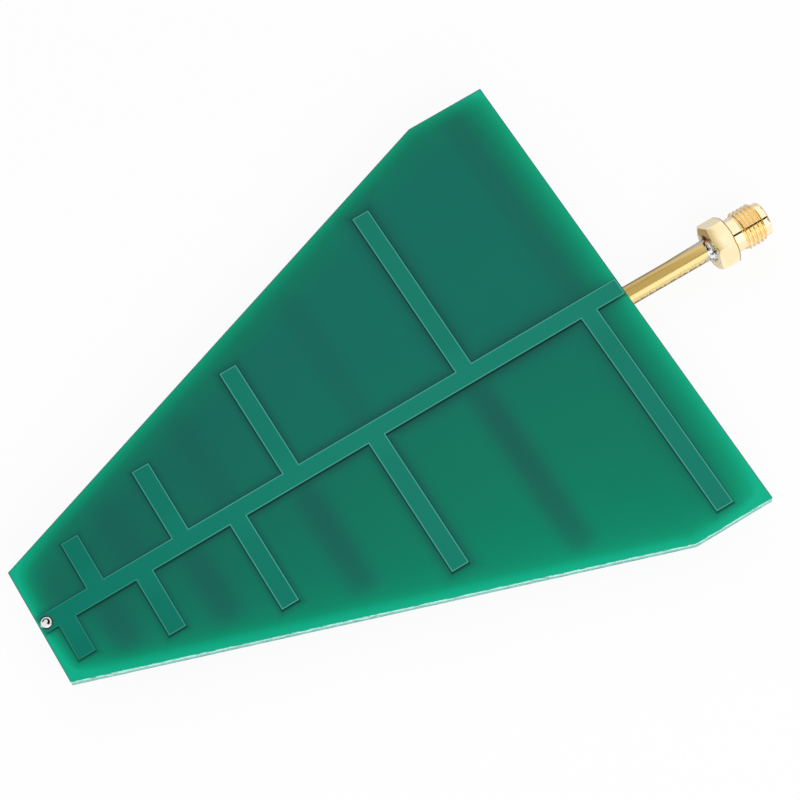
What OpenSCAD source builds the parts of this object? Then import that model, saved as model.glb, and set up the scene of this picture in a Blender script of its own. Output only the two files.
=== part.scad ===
// Log periodic antenna etched on both faces of a circuit board. A rigid coax is soldered along the boom on
// the back and ends in a threaded jack. The coax axis is X and the jack opens towards +X. The origin lies on
// that axis at the jack's reference plane, where the mating outer conductor lands. The board's front is up.

/* [Board] */
// Board beyond the middle of the longest arm, at the jack's end
heel_l = 6.5; // [4:0.1:12]
// Stretch with parallel sides, at the jack's end
square_l = 13; // [9:0.5:16]
// Board beyond the tip of the longest arm
heel_margin = 2.5; // [1:0.1:6]
// Board beyond the tip of the shortest arm, at the small end
toe_margin = 2.25; // [1.2:0.05:4]
// Thickness of the laminate
board_t = 1.6; // [0.8:0.1:3.2]
// Turn of the board about its feed hole, as it was soldered by hand, in degrees
board_skew = 0.43; // [-0.8:0.01:0.8]

/* [Copper] */
// Thickness of the copper foil
copper_t = 0.035; // [0.018:0.001:0.105]
// Width of the boom
boom_w = 2.85; // [2:0.05:4]
// Width of every arm
arm_w = 2.85; // [2:0.05:3.6]
// Bare laminate between the boom and the small end
boom_toe_gap = 0.5; // [0.2:0.05:0.6]
// Bare laminate between the boom and the jack's end
boom_heel_gap = 0.2; // [0.1:0.05:1]
// Distance kept between the back copper and the middle of the feed hole
feed_clearance = 1.1; // [0.9:0.05:1.3]

/* [Arm places] */
// Middle of arm 1, the longest, from the small end of the board
place_1 = 93.5; // [90:0.1:98]
// Middle of arm 2 from the small end
place_2 = 73.1; // [68:0.1:78]
// Middle of arm 3 from the small end
place_3 = 56.4; // [53:0.1:60]
// Middle of arm 4 from the small end
place_4 = 43.2; // [41:0.1:45]
// Middle of arm 5 from the small end
place_5 = 32.7; // [31:0.1:34]
// Middle of arm 6 from the small end
place_6 = 24.4; // [23.4:0.1:25.4]
// Middle of arm 7 from the small end
place_7 = 16.9; // [16:0.1:17.8]
// Middle of arm 8 from the small end
place_8 = 10.1; // [9.4:0.1:10.8]
// Middle of arm 9, the shortest, from the small end
place_9 = 4; // [3.6:0.1:4.6]

/* [Arm reaches] */
// Reach of arm 1 from the centre line of the boom
reach_1 = 37.8; // [35:0.1:42]
// Reach of arm 2 from the centre line
reach_2 = 31.7; // [29:0.1:33]
// Reach of arm 3 from the centre line
reach_3 = 25.1; // [23:0.1:26.5]
// Reach of arm 4 from the centre line
reach_4 = 20.4; // [19:0.1:22]
// Reach of arm 5 from the centre line
reach_5 = 16.8; // [15:0.1:18]
// Reach of arm 6 from the centre line
reach_6 = 13.7; // [12.5:0.1:15]
// Reach of arm 7 from the centre line
reach_7 = 11.4; // [10.5:0.1:12.5]
// Reach of arm 8 from the centre line
reach_8 = 9.5; // [8.5:0.1:10.5]
// Reach of arm 9 from the centre line
reach_9 = 7.55; // [6.5:0.05:8.5]

/* [Solder mask] */
// Thickness of the mask
mask_t = 0.025; // [0.015:0.005:0.05]
// Diameter of the opening round the feed joint
mask_opening_d = 2; // [1.6:0.05:2.2]
// Overlap of the mask on each edge of the boom, beside the strip left bare for the coax
mask_overlap = 0.15; // [0.05:0.05:0.3]
// Gap between the mask on the back and the rim of the feed hole
mask_relief = 0.2; // [0.1:0.05:0.4]
// Bare strip in front of the end of the jacket
strip_lead = 0.3; // [0.1:0.05:0.5]

/* [Feed joint] */
// Middle of the feed hole from the small end of the board
feed_at = 1.25; // [1.2:0.05:1.4]
// Diameter of the feed hole
feed_hole_d = 1.1; // [1:0.05:1.4]
// Diameter of the solder joint on the front
feed_joint_d = 1.75; // [1.5:0.05:1.9]
// Height of the solder joint over the copper
feed_joint_h = 0.4; // [0.2:0.05:0.8]
// Length of wire that stands out of the solder
wire_stub = 0.12; // [0.05:0.01:0.4]

/* [Coax] */
// Outer diameter of the coax jacket
jacket_d = 3.18; // [2.8:0.02:3.6]
// Wall of the coax jacket
jacket_wall = 0.27; // [0.15:0.01:0.35]
// Diameter of the centre wire
wire_d = 0.82; // [0.6:0.01:0.9]
// Radius of the bend that takes the wire up through the board, at its middle
wire_bend_r = 0.9; // [0.6:0.05:1]
// Coax between the board and the jack
coax_out_l = 15.4; // [8:0.1:30]
// End of the jacket from the middle of the feed hole
jacket_setback = 1.5; // [1.3:0.05:2.5]
// Length of dielectric that stands out of the jacket at the feed
dielectric_out = 0.4; // [0.1:0.05:0.5]

/* [Coax solder] */
// Thickness of the solder film between the coax and the copper
film_t = 0.05; // [0.02:0.01:0.2]
// Length of one solder joint along the coax
tack_l = 6; // [3:0.5:10]
// Height of a solder joint down the side of the jacket, below the copper
tack_h = 1.1; // [0.6:0.05:1.5]
// Middle of the first solder joint from the small end of the board
tack_first = 9; // [6:0.5:14]
// Last solder joint's middle from the jack's end of the board
tack_last_gap = 5; // [5:0.5:12]

/* [Jack] */
// Width of the hexagon across its flats
hex_af = 7; // [6.8:0.05:8]
// Length of the hexagon
hex_l = 3.35; // [2:0.05:4]
// Turn of the hexagon about the coax axis, from corners up and down, in degrees
hex_turn = 38; // [0:1:60]
// Depth of the chamfer on the hexagon's corners
hex_chamfer = 0.45; // [0.1:0.05:0.5]
// Diameter of the neck and of the pilot in front of the thread
neck_d = 5.4; // [5.2:0.05:5.5]
// Length of the neck between the hexagon and the thread
neck_l = 1.65; // [1:0.05:3]
// Outer diameter of the thread
thread_d = 6.35; // [6:0.01:6.7]
// Length of the thread
thread_l = 3.65; // [2.5:0.05:5]
// Length of the pilot in front of the thread
pilot_l = 1.05; // [0.5:0.05:2]
// Chamfer at each end of the thread
thread_chamfer = 0.3; // [0.1:0.05:0.45]
// Diameter of the mouth that takes the mating plug
mouth_d = 4.6; // [4.5:0.01:4.7]
// Depth of the mouth down to the reference plane
mouth_depth = 1.9; // [1.5:0.05:2.4]

/* [Jack insides] */
// Diameter of the insulator
insulator_d = 4.1; // [3.9:0.01:4.3]
// Length of the insulator
insulator_l = 4.2; // [3.8:0.05:4.6]
// Outer diameter of the centre contact
contact_d = 1.27; // [1.2:0.01:1.4]
// Diameter of the contact's socket
socket_d = 0.95; // [0.9:0.01:1]
// Depth of the socket
socket_depth = 2.7; // [2.2:0.05:2.9]
// Width of the slots in the socket
slot_w = 0.16; // [0.1:0.01:0.25]
// Length of the slots in the socket
slot_l = 2.2; // [1.5:0.05:2.4]
// Depth of the solder cup at the back of the contact
cup_depth = 1.1; // [0.8:0.05:1.3]
// Diameter of the solder recess round the coax at the back of the hexagon
recess_d = 4.6; // [4.2:0.05:5]
// Depth of the solder recess
recess_depth = 0.6; // [0.3:0.05:1]
// Length of the solder cone that climbs the coax behind the hexagon
cone_l = 0.9; // [0.3:0.05:2]
// Waist of the cone, as a share of its length and of its foot's width: below a half it is hollow
cone_waist = 0.32; // [0.2:0.01:0.45]

/* [Fits] */
// Clearance round the jacket in the jack's rear bore, on the radius
jacket_clearance = 0.05; // [0.02:0.01:0.15]
// Clearance round the insulator and round the contact, on the radius
seat_clearance = 0.02; // [0.01:0.005:0.05]
// Clearance round the wire in the contact's cup, on the radius
cup_clearance = 0.03; // [0.01:0.005:0.05]

/* [Hidden] */
$fn = 96;
// Overlap of shapes that are joined, and run of a cut past the face that it opens
eps = 0.01;
past = 1;

place = [place_1, place_2, place_3, place_4, place_5, place_6, place_7, place_8, place_9];
reach = [reach_1, reach_2, reach_3, reach_4, reach_5, reach_6, reach_7, reach_8, reach_9];
arms = len(place);
tacks = 6;

// Outline of the board, with its length from the small end
board_l = place_1 + heel_l;
heel_half = reach_1 + heel_margin;
toe_half = reach_9 + toe_margin;

// Stations along X
mouth_x = mouth_depth;
thread_front_x = mouth_x - pilot_l;
neck_front_x = thread_front_x - thread_l;
hex_front_x = neck_front_x - neck_l;
hex_back_x = hex_front_x - hex_l;
board_end_x = hex_back_x - coax_out_l;
feed_x = board_end_x - board_l + feed_at;
jacket_back_x = feed_x + jacket_setback;
jacket_front_x = -insulator_l;
wire_front_x = -insulator_l + cup_depth - cup_clearance;

core_d = jacket_d - 2 * jacket_wall;

// Levels along Z
copper_back_z = jacket_d / 2 + film_t;
board_back_z = copper_back_z + copper_t;
board_front_z = board_back_z + board_t;
copper_front_z = board_front_z + copper_t;

strip_half = boom_w / 2 - mask_overlap;
tack_step = (board_l - tack_last_gap - tack_first) / (tacks - 1);

copper_colour = "#b87333";
mask_colour = "#1e7c6c";
laminate_colour = "#a4e5e0";
brass_colour = "#c8aa5f";
gold_colour = "#ffe8be";
solder_colour = "#c0c4c8";
wire_colour = "#d5d3cc";
dielectric_colour = "#f4f4ef";

// Puts what is drawn on the board, from its small end and centre line, where the board lies
module on_board(z) {
    translate([feed_x, 0, z]) rotate([0, 0, board_skew]) translate([-feed_at, 0, 0]) children();
}

// Turns a profile of [radius, x] points round the coax axis
module turned(points) {
    rotate([0, 90, 0]) rotate_extrude() polygon(points);
}

module along_x(d, from, to) {
    translate([from, 0, 0]) rotate([0, 90, 0]) cylinder(d = d, h = to - from);
}

module board_outline() {
    shoulder = board_l - square_l;
    polygon([
        [0, -toe_half], [shoulder, -heel_half], [board_l, -heel_half],
        [board_l, heel_half], [shoulder, heel_half], [0, toe_half]
    ]);
}

// Boom and arms of one face. The arms point to each side in turn, the longest to the -Y side on the front
// and to the +Y side on the back. They are grown by a margin all round where the mask wraps them.
module etched_outline(face, grow = 0) {
    translate([boom_toe_gap - grow, -boom_w / 2 - grow])
        square([board_l - boom_toe_gap - boom_heel_gap + 2 * grow, boom_w + 2 * grow]);
    for (k = [0 : arms - 1]) {
        side = (k % 2 == 0 ? -1 : 1) * face;
        translate([place[k] - arm_w / 2 - grow, side > 0 ? 0 : -reach[k] - grow])
            square([arm_w + 2 * grow, reach[k] + grow]);
    }
}

module feed_circle(d) {
    translate([feed_at, 0]) circle(d = d);
}

// The strip of bare copper that the coax is soldered to, out to the board's end at the jack
module coax_strip() {
    from = feed_at + jacket_setback - strip_lead;
    translate([from, -strip_half]) square([board_l + eps - from, 2 * strip_half]);
}

module laminate() {
    color(laminate_colour) on_board(board_back_z) linear_extrude(board_t) difference() {
        board_outline();
        feed_circle(feed_hole_d);
    }
}

module front_copper() {
    color(copper_colour) on_board(board_front_z) linear_extrude(copper_t) difference() {
        etched_outline(1);
        feed_circle(feed_hole_d);
    }
}

module back_copper() {
    color(copper_colour) on_board(copper_back_z) linear_extrude(copper_t) difference() {
        etched_outline(-1);
        feed_circle(2 * feed_clearance);
        translate([boom_toe_gap, -boom_w / 2]) square([feed_at - boom_toe_gap, boom_w]);
    }
}

// Mask over one face, drawn upwards from the laminate: it lies thin on the laminate and steps up over the
// copper, which fills the recess in its underside
module mask_sheet(face) {
    difference() {
        union() {
            linear_extrude(mask_t) board_outline();
            linear_extrude(copper_t + mask_t) intersection() {
                etched_outline(face, mask_t);
                board_outline();
            }
        }
        translate([0, 0, -eps]) linear_extrude(copper_t + eps) etched_outline(face);
    }
}

module front_mask() {
    color(mask_colour) on_board(board_front_z) difference() {
        mask_sheet(1);
        translate([0, 0, -eps]) linear_extrude(past) feed_circle(mask_opening_d);
    }
}

module back_mask() {
    color(mask_colour) on_board(board_back_z) mirror([0, 0, 1]) difference() {
        mask_sheet(-1);
        translate([0, 0, -eps]) linear_extrude(past) {
            coax_strip();
            feed_circle(feed_hole_d + 2 * mask_relief);
        }
    }
}

module coax_jacket() {
    color(brass_colour) difference() {
        along_x(jacket_d, jacket_back_x, jacket_front_x);
        along_x(core_d, jacket_back_x - past, jacket_front_x + past);
    }
}

module coax_dielectric() {
    color(dielectric_colour) difference() {
        along_x(core_d, jacket_back_x - dielectric_out, jacket_front_x);
        along_x(wire_d, jacket_back_x - dielectric_out - past, jacket_front_x + past);
    }
}

// The wire runs out of the coax, turns up through the feed hole and ends in the front joint
module centre_wire() {
    bend_x = feed_x + wire_bend_r;
    color(wire_colour) {
        along_x(wire_d, bend_x, wire_front_x);
        translate([bend_x, 0, wire_bend_r]) rotate([90, 0, 0]) rotate([0, 0, 180])
            rotate_extrude(angle = 90) translate([wire_bend_r, 0]) circle(d = wire_d, $fn = 48);
        translate([feed_x, 0, wire_bend_r])
            cylinder(d = wire_d, h = copper_front_z + feed_joint_h + wire_stub - wire_bend_r);
    }
}

// Domed joint on the front copper, round the wire that comes through the board
module feed_joint() {
    dome_r = (feed_joint_d * feed_joint_d / 4 + feed_joint_h * feed_joint_h) / (2 * feed_joint_h);
    color(solder_colour) translate([feed_x, 0, copper_front_z]) difference() {
        intersection() {
            translate([0, 0, feed_joint_h - dome_r]) sphere(r = dome_r);
            cylinder(d = feed_joint_d, h = feed_joint_h + past);
        }
        translate([0, 0, -past]) cylinder(d = wire_d, h = feed_joint_h + 2 * past);
    }
}

// One solder joint: it fills the wedge between the round jacket and the bare strip of the boom on both
// sides, and thins out towards its two ends
module solder_tack(k) {
    color(solder_colour) difference() {
        on_board(copper_back_z) translate([tack_first + k * tack_step, 0, -tack_h]) difference() {
            translate([-tack_l / 2, -strip_half, 0]) cube([tack_l, 2 * strip_half, tack_h]);
            for (end = [-1, 1])
                translate([end * tack_l / 2, 0, 0]) rotate([90, 0, 0])
                    cylinder(r = tack_h - film_t, h = boom_w, center = true);
        }
        along_x(jacket_d, jacket_back_x, hex_back_x);
    }
}

module hexagon() {
    corner_r = hex_af / sqrt(3);
    chamfer_x = hex_chamfer / 2;
    intersection() {
        translate([hex_back_x, 0, 0]) rotate([hex_turn, 0, 0]) rotate([0, 90, 0])
            cylinder(r = corner_r, h = hex_l, $fn = 6);
        turned([
            [0, hex_back_x], [corner_r - hex_chamfer, hex_back_x], [corner_r, hex_back_x + chamfer_x],
            [corner_r, hex_front_x - chamfer_x], [corner_r - hex_chamfer, hex_front_x], [0, hex_front_x]
        ]);
    }
}

module barrel() {
    neck_r = neck_d / 2;
    thread_r = thread_d / 2;
    edge = thread_chamfer;
    turned([
        [0, hex_front_x - eps], [neck_r, hex_front_x - eps], [neck_r, neck_front_x],
        [thread_r - edge, neck_front_x], [thread_r, neck_front_x + edge],
        [thread_r, thread_front_x - edge], [thread_r - edge, thread_front_x],
        [neck_r, thread_front_x], [neck_r, mouth_x - edge / 2], [neck_r - edge / 2, mouth_x], [0, mouth_x]
    ]);
}

module jack_body() {
    color(gold_colour) difference() {
        union() {
            hexagon();
            barrel();
        }
        along_x(mouth_d, 0, mouth_x + past);
        along_x(insulator_d + 2 * seat_clearance, -insulator_l, past);
        along_x(jacket_d + 2 * jacket_clearance, hex_back_x - past, 0);
        along_x(recess_d, hex_back_x - past, hex_back_x + recess_depth);
    }
}

module jack_insulator() {
    color(dielectric_colour) difference() {
        along_x(insulator_d, -insulator_l, 0);
        along_x(contact_d + 2 * seat_clearance, -insulator_l - past, past);
    }
}

// Turned contact: a slotted socket in front, and a cup at the back that holds the coax wire
module jack_contact() {
    color(gold_colour) difference() {
        along_x(contact_d, -insulator_l, 0);
        along_x(socket_d, -socket_depth, past);
        along_x(wire_d + 2 * cup_clearance, -insulator_l - past, -insulator_l + cup_depth);
        for (turn = [0, 90])
            rotate([turn, 0, 0]) translate([-slot_l, -contact_d, -slot_w / 2])
                cube([slot_l + past, 2 * contact_d, slot_w]);
    }
}

// Solder that fills the recess behind the hexagon and climbs the coax in a hollow cone
module jack_solder() {
    jacket_r = jacket_d / 2;
    recess_r = recess_d / 2;
    floor_x = hex_back_x + recess_depth;
    waist_r = jacket_r + cone_waist * (recess_r - jacket_r);
    color(solder_colour) turned([
        [jacket_r, hex_back_x - cone_l], [waist_r, hex_back_x - cone_waist * cone_l],
        [recess_r, hex_back_x], [recess_r, floor_x], [jacket_r, floor_x]
    ]);
}

laminate();
front_copper();
back_copper();
front_mask();
back_mask();
coax_jacket();
coax_dielectric();
centre_wire();
feed_joint();
solder_tack(0);  // solder_tack_1
solder_tack(1);  // solder_tack_2
solder_tack(2);  // solder_tack_3
solder_tack(3);  // solder_tack_4
solder_tack(4);  // solder_tack_5
solder_tack(5);  // solder_tack_6
jack_body();
jack_insulator();
jack_contact();
jack_solder();
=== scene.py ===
# %% [markdown]
# A log periodic antenna, etched on a tapered circuit board, with a rigid coax along its back and a small
# gold-plated jack. The solids come packed from the construction model and stay where they are. This lesson
# dresses them: it replaces the parts whose plain solid lacks the real surface, such as the threaded jack and
# the solder, and gives every part a finish drawn by nodes in real millimetres.

from math import atan2, cos, degrees, hypot, pi, radians, sin, sqrt, tan

import bpy
from mathutils import Matrix, Quaternion, Vector, noise


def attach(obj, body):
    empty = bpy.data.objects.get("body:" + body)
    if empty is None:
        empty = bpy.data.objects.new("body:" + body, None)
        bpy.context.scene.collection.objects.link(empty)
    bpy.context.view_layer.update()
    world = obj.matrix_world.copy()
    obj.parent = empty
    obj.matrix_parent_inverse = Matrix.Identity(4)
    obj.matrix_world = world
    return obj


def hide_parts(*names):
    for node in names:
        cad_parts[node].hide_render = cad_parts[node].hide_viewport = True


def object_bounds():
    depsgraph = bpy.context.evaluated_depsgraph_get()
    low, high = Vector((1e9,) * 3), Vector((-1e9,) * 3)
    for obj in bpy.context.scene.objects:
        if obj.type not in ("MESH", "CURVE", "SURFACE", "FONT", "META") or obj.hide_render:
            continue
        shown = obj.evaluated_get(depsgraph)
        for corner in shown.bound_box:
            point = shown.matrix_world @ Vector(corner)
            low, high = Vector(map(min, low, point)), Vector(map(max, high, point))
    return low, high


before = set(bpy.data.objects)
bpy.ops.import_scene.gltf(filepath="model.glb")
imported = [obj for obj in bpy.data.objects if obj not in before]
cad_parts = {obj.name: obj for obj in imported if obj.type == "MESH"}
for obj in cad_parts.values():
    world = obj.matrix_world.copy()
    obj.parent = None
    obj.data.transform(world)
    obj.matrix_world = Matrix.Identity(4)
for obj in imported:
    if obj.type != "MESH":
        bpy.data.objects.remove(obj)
cad_low, cad_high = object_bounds()
MM = 0.001
print("solids:", len(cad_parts), "box in mm:", [round(v / MM, 2) for v in cad_high - cad_low])

# %% [markdown]
# The camera. The photograph was taken from above and in front, with a long lens and the board turned in the
# frame. A camera could be set by eye, but the board's corners and arm tips give it exactly: a pinhole camera is
# fitted to them. Its place is kept here as an aim point, a distance and three angles.

# %% Camera
AIM = Vector((-60.74, 2.54, 3.27)) * MM
DISTANCE = 390.91 * MM
TURN, TILT, ROLL = radians(19.797), radians(66.972), radians(11.638)

ahead = Vector((sin(TURN) * cos(TILT), cos(TURN) * cos(TILT), -sin(TILT)))
camera = bpy.data.objects.new("camera", bpy.data.cameras.new("camera"))
camera.data.sensor_width = 36
camera.data.lens = 118.5
camera.rotation_mode = "QUATERNION"
camera.location = AIM - ahead * DISTANCE
camera.rotation_quaternion = ahead.to_track_quat("-Z", "Y") @ Quaternion((0, 0, 1), -ROLL)
camera.data.clip_start, camera.data.clip_end = 0.01, 10
bpy.context.scene.collection.objects.link(camera)
bpy.context.scene.camera = camera
print("camera at mm", [round(v / MM, 1) for v in camera.location])

# %% [markdown]
# The floor and the light. The object was shot on white with light from all round, so that its shadow all but
# vanished. One lamp would throw a hard shadow. Here the world gives an even light, a broad soft lamp on the
# near side shapes the coax and the jack, and a weaker one fills from behind. The floor is white to the camera
# and still takes part of the shadow, so the board stands on something.

# %% Colours and nodes
def linear(colour):
    """An sRGB hex colour as a linear one with alpha."""
    parts = [int(colour[i:i + 2], 16) / 255 for i in (1, 3, 5)]
    return (*(c / 12.92 if c <= 0.04045 else ((c + 0.055) / 1.055) ** 2.4 for c in parts), 1)


def add(tree, kind, inputs={}, **settings):
    """Adds a node, gives it its settings, and links or sets its inputs. Returns its first output in use, if any."""
    node = tree.nodes.new("ShaderNode" + kind)
    stops = settings.pop("stops", None)
    for name, value in settings.items():
        setattr(node, name, value)
    if stops:
        for place, colour in stops[2:]:
            node.color_ramp.elements.new(place)
        for stop, (place, colour) in zip(node.color_ramp.elements, stops):
            stop.position = place
            stop.color = linear(colour) if isinstance(colour, str) else (colour, colour, colour, 1)
    for name, value in inputs.items():
        if isinstance(value, bpy.types.NodeSocket):
            tree.links.new(value, node.inputs[name])
        else:
            node.inputs[name].default_value = value
    return next((socket for socket in node.outputs if socket.enabled), None)


def material(name):
    """A new material with an empty tree, and that tree."""
    made = bpy.data.materials.new(name)
    made.use_nodes = True
    made.node_tree.nodes.clear()
    return made, made.node_tree


print("linear mid grey:", [round(c, 3) for c in linear("#808080")])

# %% World and lamps
world = bpy.data.worlds.new("studio")
bpy.context.scene.world = world
world.use_nodes = True
tree = world.node_tree
tree.nodes.clear()
ray = add(tree, "LightPath").node
seen = add(tree, "Math", {0: ray.outputs["Is Camera Ray"], 1: ray.outputs["Is Glossy Ray"]}, operation="MAXIMUM")
seen = add(tree, "Math", {0: seen, 1: ray.outputs["Is Transmission Ray"]}, operation="MAXIMUM")
level = add(tree, "MapRange", {"Value": seen, "To Min": 0.58, "To Max": 1.0})
sky = add(tree, "Background", {"Color": (1, 1, 1, 1), "Strength": level})
add(tree, "OutputWorld", {"Surface": sky})


def lamp(name, place, size, power):
    """A square lamp that faces the middle of the board."""
    made = bpy.data.objects.new(name, bpy.data.lights.new(name, "AREA"))
    made.data.size, made.data.energy = size, power
    made.visible_glossy = False
    made.location = place
    made.rotation_euler = (AIM - made.location).to_track_quat("-Z", "Y").to_euler()
    bpy.context.scene.collection.objects.link(made)
    print(name, "at mm", [round(v / MM) for v in made.location])


lamp("key_lamp", Vector((-0.10, -0.55, 0.42)), 0.45, 2.4)
lamp("fill_lamp", Vector((0.15, 0.60, 0.50)), 0.60, 0.7)

# %% Floor
bpy.context.scene.view_settings.view_transform = "Standard"
FLOOR_Z = cad_low.z - 0.02 * MM
floor_mesh = bpy.data.meshes.new("floor")
side = 3.0
floor_mesh.from_pydata([(-side, -side, FLOOR_Z), (side, -side, FLOOR_Z), (side, side, FLOOR_Z),
                        (-side, side, FLOOR_Z)], [], [(0, 1, 2, 3)])
floor = bpy.data.objects.new("floor", floor_mesh)
bpy.context.scene.collection.objects.link(floor)
white_paper, tree = material("white_paper")
ray = add(tree, "LightPath").node
paper = add(tree, "BsdfDiffuse", {"Color": linear("#fdfdfd")})
glow = add(tree, "Emission", {"Color": (1, 1, 1, 1), "Strength": 1.0})
share = add(tree, "Math", {0: ray.outputs["Is Camera Ray"], 1: 0.92}, operation="MULTIPLY")
add(tree, "OutputMaterial", {"Surface": add(tree, "MixShader", {0: share, 1: paper, 2: glow})})
floor_mesh.materials.append(white_paper)

# %% [markdown]
# Cards for the metal to mirror. In a white room alone, brass and gold look flat, because every side mirrors the
# same white. A photographer hangs cards above such a thing: a warm dim one over the coax turns its upper half
# olive, and a narrow black one draws the dark line along the jack. They show in reflections only, so they
# neither shade the object nor stand in the picture.

# %% Cards
def card(name, corners, colour, strength):
    """A card with four corners in mm, which shines with a colour and shows in reflections only."""
    mesh = bpy.data.meshes.new(name)
    mesh.from_pydata([Vector(corner) * MM for corner in corners], [], [(0, 1, 2, 3)])
    made, tree = material(name)
    shine = add(tree, "Emission", {"Color": linear(colour), "Strength": strength})
    add(tree, "OutputMaterial", {"Surface": shine})
    mesh.materials.append(made)
    hung = bpy.data.objects.new(name, mesh)
    bpy.context.scene.collection.objects.link(hung)
    hung.visible_camera = hung.visible_diffuse = hung.visible_shadow = hung.visible_transmission = False
    print(name, "shines at", strength)


def level_card(name, x, y, height, colour, strength):
    card(name, [(x[0], y[0], height), (x[1], y[0], height), (x[1], y[1], height), (x[0], y[1], height)],
         colour, strength)


level_card("card_over_coax", (-45, 8.5), (-52, 600), 60, "#d2c8a0", 1.0)
level_card("card_over_jack", (40, 500), (-120, 900), 300, "#ffffff", 1.16)
level_card("card_black", (40, 400), (-208, -128), 299, "#000000", 1.0)
PAPER = FLOOR_Z / MM + 0.05
# A dim brown card on the floor under the coax is painted shadow: it stands for the floor's shade there, as the tube
# and the hexagon mirror it
level_card("card_under_coax", (-40, -8.8), (1.5, 14), PAPER, "#a8987c", 1.0)
level_card("card_behind", (-60, 90), (14.5, 250), PAPER, "#dcdcec", 1.0)
level_card("card_before", (-24, 70), (-90, -3.5), PAPER, "#ffffff", 1.1)
card("card_front", [(-400, -420, 0), (400, -420, 0), (400, -420, 520), (-400, -420, 520)], "#ffffff", 1.45)
card("card_right", [(300, -330, 0), (300, 330, 0), (300, 330, 260), (300, -330, 260)], "#b4a88c", 1.0)

# %% [markdown]
# The board's own axes. Every pattern on the board follows its outline and its copper: the glow along the cut
# edges, the line round each trace and the bars of the far copper that show through. A painted image could hold
# all that, but it would have a fixed sharpness. Distances worked out by nodes stay sharp at any size, so the
# outline and the copper are given here as lengths in millimetres from the board's small end, and the nodes
# measure the distance to them.

# %% Board sizes, in mm
FEED_X = -121.95
FEED_AT = 1.25
BOARD_L = 100.0
HEEL_HALF, TOE_HALF, SHOULDER = 40.3, 9.8, 87.0
BACK_Z, FRONT_Z = 1.675, 3.275
COPPER_T, MASK_T = 0.035, 0.025
BOOM_W = ARM_W = 2.85
BOOM_ENDS = 0.5, 99.8
PLACES = 93.5, 73.1, 56.4, 43.2, 32.7, 24.4, 16.9, 10.1, 4.0
REACHES = 37.8, 31.7, 25.1, 20.4, 16.8, 13.7, 11.4, 9.5, 7.55
SKEW = radians(0.43)
STRIP_HALF = 1.275
print("arms on each face:", len(PLACES))


def board_axes(tree):
    """The shaded point along and across the board in mm, without its height."""
    point = add(tree, "TexCoord").node.outputs["Object"]
    unturned = Matrix.Rotation(-SKEW, 3, "Z") @ Vector((FEED_X, 0, 0))
    return add(tree, "Mapping", {"Vector": point, "Location": Vector((FEED_AT, 0, 0)) - unturned,
                                 "Rotation": (0, 0, -SKEW), "Scale": (1 / MM, 1 / MM, 0)})


def etched(face):
    """The boom and the arms of one face as (middle, half size) boxes. The longest arm of the front goes to -Y."""
    low, high = BOOM_ENDS
    boxes = [((low + high) / 2, 0, (high - low) / 2, BOOM_W / 2)]
    for k, (place, reach) in enumerate(zip(PLACES, REACHES)):
        side = (-1 if k % 2 == 0 else 1) * face
        boxes.append((place, side * reach / 2, ARM_W / 2, reach / 2))
    return boxes


def beyond(tree, point, boxes, inset):
    """Distance in mm from the nearest of the boxes, each first made smaller by the inset all round."""
    nearest = None
    for x, y, half_x, half_y in boxes:
        off = add(tree, "VectorMath", {0: point, 1: (x, y, 0)}, operation="SUBTRACT")
        off = add(tree, "VectorMath", {0: off}, operation="ABSOLUTE")
        off = add(tree, "VectorMath", {0: off, 1: (half_x - inset, half_y - inset, 0)}, operation="SUBTRACT")
        off = add(tree, "VectorMath", {0: off, 1: (0, 0, 0)}, operation="MAXIMUM")
        off = add(tree, "VectorMath", {0: off}, operation="LENGTH")
        off = off.node.outputs["Value"]
        nearest = off if nearest is None else add(tree, "Math", {0: nearest, 1: off}, operation="MINIMUM")
    return nearest


def past_edge(tree, point, boxes):
    """Distance in mm past the straight edges of the boxes' outline, below 0 inside, with square corners."""
    nearest = None
    for x, y, half_x, half_y in boxes:
        off = add(tree, "VectorMath", {0: point, 1: (x, y, 0)}, operation="SUBTRACT")
        off = add(tree, "VectorMath", {0: off}, operation="ABSOLUTE")
        off = add(tree, "VectorMath", {0: off, 1: (half_x, half_y, 0)}, operation="SUBTRACT")
        split = add(tree, "SeparateXYZ", {0: off}).node
        off = add(tree, "Math", {0: split.outputs["X"], 1: split.outputs["Y"]}, operation="MAXIMUM")
        nearest = off if nearest is None else add(tree, "Math", {0: nearest, 1: off}, operation="MINIMUM")
    return nearest


def edges(tree, point):
    """Distance in mm to the -Y side, the +Y side, the small end and the jack's end of the board."""
    split = add(tree, "SeparateXYZ", {0: point}).node
    along, across = split.outputs["X"], split.outputs["Y"]
    slope = (HEEL_HALF - TOE_HALF) / SHOULDER
    half = add(tree, "Math", {0: along, 1: slope, 2: TOE_HALF}, operation="MULTIPLY_ADD")
    half = add(tree, "Math", {0: half, 1: HEEL_HALF}, operation="MINIMUM")
    square = cos(atan2(slope, 1))
    near = add(tree, "Math", {0: half, 1: across}, operation="ADD")
    far = add(tree, "Math", {0: half, 1: across}, operation="SUBTRACT")
    near = add(tree, "Math", {0: near, 1: square}, operation="MULTIPLY")
    far = add(tree, "Math", {0: far, 1: square}, operation="MULTIPLY")
    jack_end = add(tree, "Math", {0: BOARD_L, 1: along}, operation="SUBTRACT")
    return near, far, along, jack_end


def fade(tree, distance, reach, levels):
    """A weight that falls with the distance: levels are (mm, weight) pairs, up to the reach in mm."""
    share = add(tree, "Math", {0: distance, 1: reach}, operation="DIVIDE")
    return add(tree, "ValToRGB", {0: share}, stops=[(mm / reach, w) for mm, w in levels])
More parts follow.
